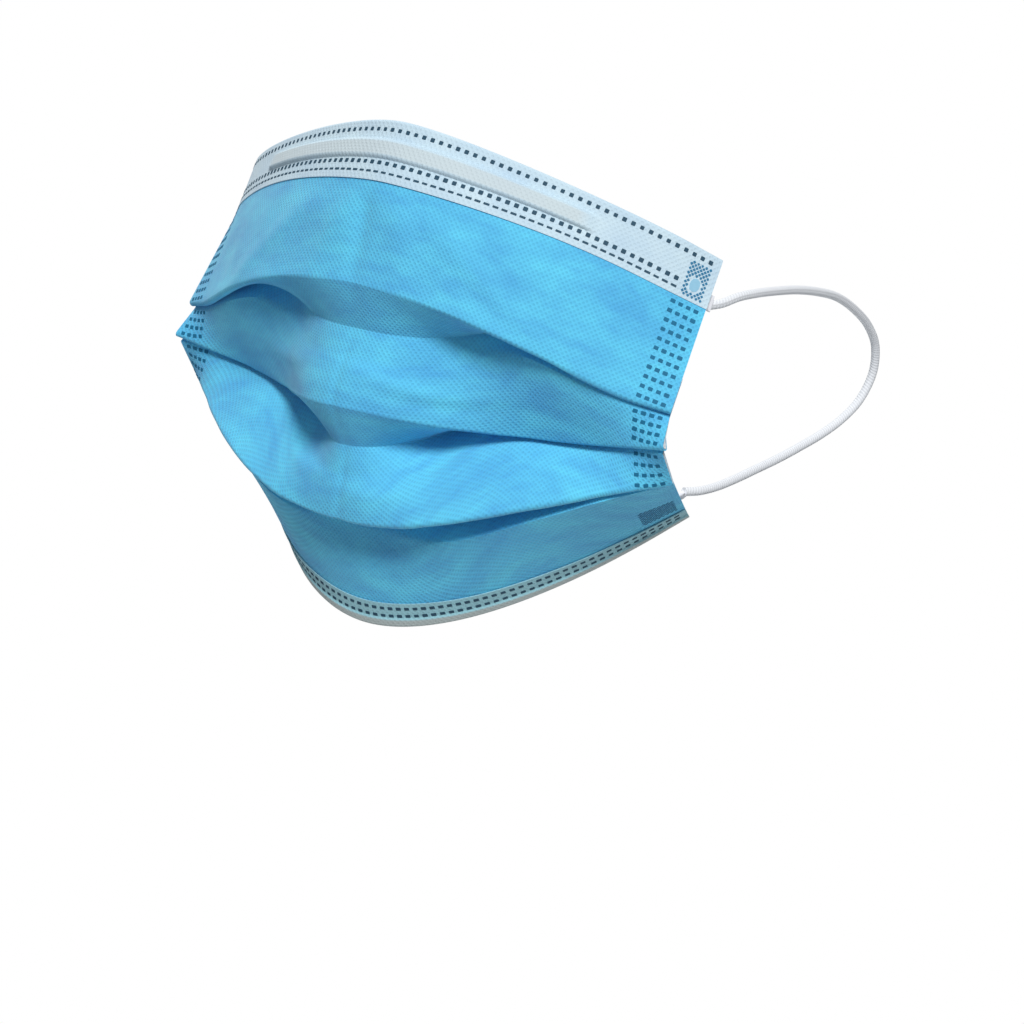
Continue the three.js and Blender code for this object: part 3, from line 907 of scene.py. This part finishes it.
class FACEMASK_OT_stage(bpy.types.Operator):
    """Make the camera, the floor and the soft studio lights"""
    bl_idname = "facemask.stage"
    bl_label = "Stage"

    def execute(self, context):
        scene = context.scene
        back = Vector((math.sin(VIEW_TURN) * math.cos(VIEW_RISE),
                       -math.cos(VIEW_TURN) * math.cos(VIEW_RISE), math.sin(VIEW_RISE)))
        right = Vector((math.cos(VIEW_TURN), math.sin(VIEW_TURN), 0.0))
        up = back.cross(right)
        data = bpy.data.cameras.new("camera")
        data.lens = VIEW_LENS
        data.sensor_width = 36.0
        data.clip_start, data.clip_end = 0.01, 20.0
        camera = link(bpy.data.objects.new("camera", data))
        camera.location = back * VIEW_DISTANCE + right * VIEW_RIGHT + up * VIEW_UP
        camera.rotation_mode = "QUATERNION"
        camera.rotation_quaternion = (-back).to_track_quat("-Z", "Y")
        scene.camera = camera

        world = bpy.data.worlds.new("studio")
        world.use_nodes = True
        soft = world.node_tree.nodes["Background"]
        soft.inputs[0].default_value = (0.90, 0.95, 1.0, 1.0)
        soft.inputs[1].default_value = SKY_LIGHT
        tree = world.node_tree
        seen = add_node(tree, "ShaderNodeBackground", [(0, (1.0, 1.0, 1.0, 1.0))])
        ray = add_node(tree, "ShaderNodeLightPath").outputs["Is Camera Ray"]
        split = add_node(tree, "ShaderNodeMixShader",
                         [(0, ray), (1, soft.outputs[0]), (2, seen.outputs[0])])
        tree.links.new(split.outputs[0], tree.nodes["World Output"].inputs[0])
        scene.world = world
        scene.view_settings.view_transform = "Standard"

        low = CAD_BOX[0].z - sizes().floor_drop
        reach = FLOOR_REACH
        mesh = bpy.data.meshes.new("studio_floor")
        verts = [(-reach, -reach, low), (reach, -reach, low), (reach, reach, low),
                 (-reach, reach, low)]
        mesh.from_pydata(verts, [], [(0, 1, 2, 3)])
        floor = link(bpy.data.objects.new("studio_floor", mesh))
        f = Finish("studio_paper")
        place = f.node("ShaderNodeTexCoord").outputs["Object"]
        grain = f.noise(place, 3.0, 2.0)
        paper = f.blend(grain, rgba((0.90,) * 3), rgba((0.93,) * 3))
        dress(floor, f.shade(paper, 0.9, 0.0))

        for name, (across, toward, height), power, softness in LIGHTS:
            way = right * across + Vector((back.x, back.y, 0)).normalized() * toward
            way += Vector((0, 0, height))
            lamp = bpy.data.lights.new(name, "SUN")
            lamp.energy, lamp.angle = power, math.radians(softness)
            obj = link(bpy.data.objects.new(name, lamp))
            obj.location = way.normalized() * 1.5
            obj.rotation_mode = "QUATERNION"
            obj.rotation_quaternion = (-way).to_track_quat("-Z", "Y")
        return {"FINISHED"}


class FACEMASK_OT_ear_loops(bpy.types.Operator):
    """Make the two knitted elastic ear loops"""
    bl_idname = "facemask.ear_loops"
    bl_label = "Ear Loops"

    def execute(self, context):
        finish = knitted("elastic_knit", colours().elastic)
        thick = sizes().cord_diameter
        for name, hand in (("ear_loop_left", 1), ("ear_loop_right", -1)):
            loop, line, length = cord_tube("elastic_" + name, hand, thick)
            dress(loop, finish)
            finish_piece(loop, "elastic_knit", name)
        return {"FINISHED"}


class FACEMASK_OT_loop_tabs(bpy.types.Operator):
    """Make the four flattened, bonded ends of the elastic"""
    bl_idname = "facemask.loop_tabs"
    bl_label = "Loop Tabs"

    def execute(self, context):
        finish = bpy.data.materials["elastic_knit"]
        inner = 1 - TAB_LENGTH / HALF_WIDTH
        outer = 1 + TAB_OVERHANG / HALF_WIDTH
        for hand_name, hand in (("left", 1), ("right", -1)):
            sides = np.linspace(inner, outer, 15) * hand
            places = (
                ("top", top_point, TOP_TAB, 1.0, HEM_OFFSET + HEM_WALL / 2 + 0.75),
                ("bottom", bottom_point, BOTTOM_TAB, -1.0, PLY_OFFSET + PLY_WALL / 2 + 0.75),
            )
            for place, surface, span, sign, offset in places:
                drops = np.linspace(span[0], span[1], 9)
                name = f"loop_tab_{place}_{hand_name}"
                pad = rounded_patch("bonded_" + name, surface, sides, drops, sign, offset, 1.7)
                dress(pad, finish)
                finish_piece(pad, "elastic_knit", name)
        return {"FINISHED"}


class FACEMASK_OT_panel(bpy.types.Operator):
    """Make the pleated panel: the blue outer ply and the white lining"""
    bl_idname = "facemask.panel"
    bl_label = "Pleated Panel"

    def execute(self, context):
        side = np.linspace(-1, 1, 2 * HALF_STATIONS + 1)
        grid = body_section(side)
        lengths = cloth_lengths(grid)
        across = np.repeat((side * HALF_WIDTH)[:, None], grid.shape[1], 1)
        uv = np.stack([across, lengths], -1)
        inward = grid_frames(grid)
        lift = crease_lift(across, lengths) * sizes().crease_strength
        open_cloth = grid - inward * lift[..., None]
        plies = (
            # name, finish, slot, way, colour, then the cloth
            ("outer_ply", "blue_nonwoven", "blue_nonwoven", -1, colours().outer,
             0.98, 0.22, 0.85, 0.12),
            ("inner_lining", "white_lining", "white_nonwoven", 1, colours().lining,
             1.15, 0.16, 0.2, 0.08),
        )
        for name, finish, slot, way, colour, *cloth in plies:
            ply = closed_sheet(name, open_cloth, PLY_WALL, uv, way * PLY_OFFSET, inward)
            dress(ply, nonwoven(finish, colour, *cloth))
            finish_piece(ply, slot, "pleated_body")
        return {"FINISHED"}


class FACEMASK_OT_hems(bpy.types.Operator):
    """Make the white top hem, the pale bottom hem and the nose wire"""
    bl_idname = "facemask.hems"
    bl_label = "Hems and Nose Wire"

    def execute(self, context):
        side = np.linspace(-1, 1, 2 * HALF_STATIONS + 1)
        hems = (
            # name, surface, way down, depth, lift, rows, node, slot, colour, then the cloth
            ("folded_top_hem", hem_point, 1.0, TOP_HEM_DEPTH, wire_lift, 44, "top_hem",
             "white_nonwoven", colours().hem, 0.07, 0.40, 0.09, RIDGE_PAINTED_SHADE),
            ("folded_bottom_hem", bottom_point, -1.0, BOTTOM_HEM_DEPTH, roll_lift, 26,
             "bottom_hem", "edge_nonwoven", colours().edge, 0.2, 0.25, 0.07, BORDER_BAND),
        )
        for name, surface, sign, depth, lift, rows, node, slot, colour, *cloth in hems:
            grid = hem_grid(surface, side, sign, depth, lift, rows)
            hem = closed_sheet(name, grid, HEM_WALL, strip_uv(grid, side))
            dress(hem, nonwoven(slot, colour, 1.0, *cloth))
            finish_piece(hem, slot, node)

        wire_side = np.linspace(-WIRE_HALF, WIRE_HALF, 121) / HALF_WIDTH
        drops = np.linspace(WIRE_FROM + 0.1, WIRE_TO - 0.1, 9)
        middle = HEM_OFFSET - HEM_WALL / 2 + WIRE_LIFT - WIRE_GAP - WIRE_WALL / 2
        strip = rounded_patch("coated_nose_wire", hem_point, wire_side, drops, 1.0,
                              -middle, WIRE_WALL)
        dress(strip, coated_wire("wire_plastic", colours().wire))
        finish_piece(strip, "wire_plastic", "nose_wire")
        return {"FINISHED"}


HEM_ROWS = (
    # name, drop below the top edge, width, height
    ("upper", 2.3, 1.05, 1.0),
    ("middle", 9.45, 1.15, 1.05),
    ("lower", 11.4, 1.5, 0.55),
)
EDGE_ROWS = (
    # name, rise above the bottom edge, width, height
    ("lower", 3.3, 1.35, 0.8),
    ("upper", 5.4, 1.35, 0.8),
)
SIDE_COLUMNS = (2.3, 4.4, 6.5, 8.6)
SIDE_BOND = (1.2, 0.9)
BOND_WALL = 0.07
PAD_ROWS, PAD_PITCH, PAD_FROM, PAD_BOND = 15, 1.15, 2.2, 0.6
PAD_TOP, PAD_CLEAR, LOW_PAD_RISE = 4.0, 9.0, 9.3
BARE_WIDTH, BARE_DROP, BARE_HEIGHT = 0.62, 0.25, 0.5  # shares of the pad's half sizes
FOLD_MARGIN = 0.9
BOND_SINK = 0.01
OVAL_FROM_SIDE, OVAL_DROP, OVAL_SIZE = 4.8, 9.1, (2.5, 3.4)


def hem_row(name, surface, sign, row, lift, finish, pitch, offset, inside):
    """One row of bonds along a hem, on its outer or its inner face."""
    _, drop, width, height = row
    count = int((2 * HALF_WIDTH - 3.0) / pitch)
    side = (np.arange(count) - (count - 1) / 2) * pitch / HALF_WIDTH
    if sign > 0 and drop > PAD_TOP and not inside:  # these rows stop at the corner pads
        side = side[np.abs(side) * HALF_WIDTH < HALF_WIDTH - PAD_CLEAR]
    point, along, _, inward = frame_of(surface, side, np.full_like(side, drop), sign)
    raised = lift(np.full_like(side, drop), side)[:, None]
    if inside:
        points, facing = point + inward * offset, inward
    else:
        points, facing = point - inward * (offset + raised), -inward
    return lay_bonds(name, points, facing, along, width, height, BOND_WALL, finish)


def no_lift(drop, side):
    return np.zeros_like(side)


def seam_points(pitch, inside):
    """Places of the side-seam bonds on each panel that shows, for both sides of the mask."""
    corners = section_corners(np.array([1.0]))
    reach = [float(np.linalg.norm(c["tip"] - c["begin"])) for c in corners]
    spans = (
        # surface, first and last distance down it, sign of the way down
        (top_point, TOP_HEM_DEPTH + 1.6, reach[0] - FOLD_MARGIN, 1.0),
        (middle_point(1), FOLD_MARGIN, reach[1] - FOLD_MARGIN, 1.0),
        (middle_point(2), FOLD_MARGIN, reach[2] - FOLD_MARGIN - 1.0, 1.0),
        (bottom_point, BOTTOM_HEM_DEPTH + 1.2, reach[3] - 1.0, -1.0),
    )
    spans = (spans[0], spans[3]) if inside else spans[:3]
    found = []
    for surface, begin, end, sign in spans:
        whole = end + FOLD_MARGIN
        count = max(2, int(round((end - begin) / pitch)) + 1)
        for drop in np.linspace(begin, end, count):
            for column in SIDE_COLUMNS:
                for hand in (-1, 1):
                    side = np.array([hand * (1 - column / HALF_WIDTH)])
                    point, along, _, inward = frame_of(surface, side, np.array([drop]), sign)
                    swell = BEND_RADIUS * drop / whole if sign > 0 else 0.0
                    found.append((point[0] - inward[0] * swell, along[0], inward[0]))
    return [np.array(values) for values in zip(*found)]


def corner_pad_points(surface, sign, rise, hand, columns, hollow):
    """A diamond lattice of small bonds where the elastic is held, round a bare oval."""
    found = []
    for row in range(PAD_ROWS):
        for column in range(columns):
            shift = 0.5 if row % 2 else 0.0
            across = PAD_FROM + (column + shift) * PAD_PITCH
            drop = rise + row * PAD_PITCH / 2
            u = (column + shift - (columns - 0.5) / 2) / (columns / 2)
            v = (row - (PAD_ROWS - 1) / 2) / (PAD_ROWS / 2)
            if hollow and (u / BARE_WIDTH) ** 2 + ((v - BARE_DROP) / BARE_HEIGHT) ** 2 < 1:
                continue
            side = np.array([hand * (1 - across / HALF_WIDTH)])
            point, along, down, inward = frame_of(surface, side, np.array([drop]), sign)
            found.append((point[0], unit(along[0] + down[0]), inward[0]))
    return [np.array(values) for values in zip(*found)]


class FACEMASK_OT_bonds(bpy.types.Operator):
    """Lay the pressed bonds of the hems, side seams and corners"""
    bl_idname = "facemask.bonds"
    bl_label = "Bonds"

    def execute(self, context):
        hem_finish = fused("hem_bond", colours().hem_bond, tint(colours().hem_bond, 0.6)[:3])
        blue_finish = fused("blue_bond", colours().blue_bond, tint(colours().blue_bond, 0.6)[:3])
        pad_finish = fused("pad_bond", (0.05, 0.24, 0.42), (0.03, 0.17, 0.32))
        oval_finish = fused("pad_oval", (0.34, 0.62, 0.80), (0.27, 0.54, 0.72))
        pale_finish = fused("pale_bond", (0.60, 0.68, 0.74), (0.45, 0.55, 0.62))
        pitch = sizes().hem_bond_pitch / MM
        face = HEM_OFFSET + HEM_WALL / 2 - BOND_SINK
        for place, inside, finish in (("outer", False, hem_finish), ("inner", True, pale_finish)):
            for hem, surface, sign, table, lift, slot in (
                    ("top", hem_point, 1.0, HEM_ROWS, wire_lift, "white_nonwoven"),
                    ("bottom", bottom_point, -1.0, EDGE_ROWS, no_lift, "edge_nonwoven")):
                rows = [hem_row(f"{hem}_{place}_{row[0]}", surface, sign, row, lift, finish,
                                pitch, face, inside) for row in table]
                finish_piece(join_pieces(f"{hem}_hem_bonds_{place}", rows), slot)
        ply_face = PLY_OFFSET + PLY_WALL / 2 - BOND_SINK
        down_pitch = sizes().side_bond_pitch / MM
        for place, inside, finish in (("outer", False, blue_finish), ("inner", True, pale_finish)):
            points, along, inward = seam_points(down_pitch, inside)
            way = 1 if inside else -1
            seam = lay_bonds(f"side_seam_bonds_{place}", points + inward * way * ply_face,
                             inward * way, along, *SIDE_BOND, BOND_WALL, finish)
            finish_piece(seam, "blue_nonwoven")
        pads = []
        for hand in (-1, 1):
            places = (("top", top_point, 1.0, PAD_TOP, face, 5, True),
                      ("bottom", bottom_point, -1.0, LOW_PAD_RISE, ply_face, 8, False))
            for place, surface, sign, rise, offset, columns, hollow in places:
                points, along, inward = corner_pad_points(surface, sign, rise, hand, columns,
                                                          hollow)
                pads.append(lay_bonds(f"pad_{place}_{hand + 1}", points - inward * offset, -inward,
                                      along, PAD_BOND, PAD_BOND, BOND_WALL, pad_finish))
        finish_piece(join_pieces("corner_bonds", pads), "blue_nonwoven")
        side = np.array([-1, 1]) * (1 - OVAL_FROM_SIDE / HALF_WIDTH)
        point, along, _, inward = frame_of(top_point, side, np.full(2, OVAL_DROP), 1.0)
        ovals = lay_bonds("corner_ovals", point - inward * face, -inward, along, *OVAL_SIZE,
                          BOND_WALL, oval_finish, rounding=0.48)
        finish_piece(ovals, "white_nonwoven")
        return {"FINISHED"}


class FACEMASK_PT_panel(bpy.types.Panel):
    """Sidebar panel that lists the sizes, the colours and the steps"""
    bl_idname = "FACEMASK_PT_panel"
    bl_label = "Face Mask"
    bl_space_type = "VIEW_3D"
    bl_region_type = "UI"
    bl_category = "Face Mask"

    def draw(self, context):
        layout = self.layout
        for group in (context.scene.face_mask_sizes, context.scene.face_mask_colours):
            column = layout.column(align=True)
            for name in group.__annotations__:
                column.prop(group, name)
        for operator in STEPS:
            layout.operator(operator.bl_idname)


STEPS = (
    FACEMASK_OT_stage,
    FACEMASK_OT_ear_loops,
    FACEMASK_OT_loop_tabs,
    FACEMASK_OT_panel,
    FACEMASK_OT_hems,
    FACEMASK_OT_bonds,
)
CLASSES = (FaceMaskSizes, FaceMaskColours, *STEPS, FACEMASK_PT_panel)


def register():
    for cls in CLASSES:
        bpy.utils.register_class(cls)
    bpy.types.Scene.face_mask_sizes = bpy.props.PointerProperty(type=FaceMaskSizes)
    bpy.types.Scene.face_mask_colours = bpy.props.PointerProperty(type=FaceMaskColours)


def unregister():
    del bpy.types.Scene.face_mask_colours
    del bpy.types.Scene.face_mask_sizes
    for cls in reversed(CLASSES):
        bpy.utils.unregister_class(cls)


def main():
    register()
    bpy.ops.facemask.stage()
    bpy.ops.facemask.ear_loops()
    bpy.ops.facemask.loop_tabs()
    bpy.ops.facemask.panel()
    bpy.ops.facemask.hems()
    bpy.ops.facemask.bonds()


if __name__ == "__main__":
    main()
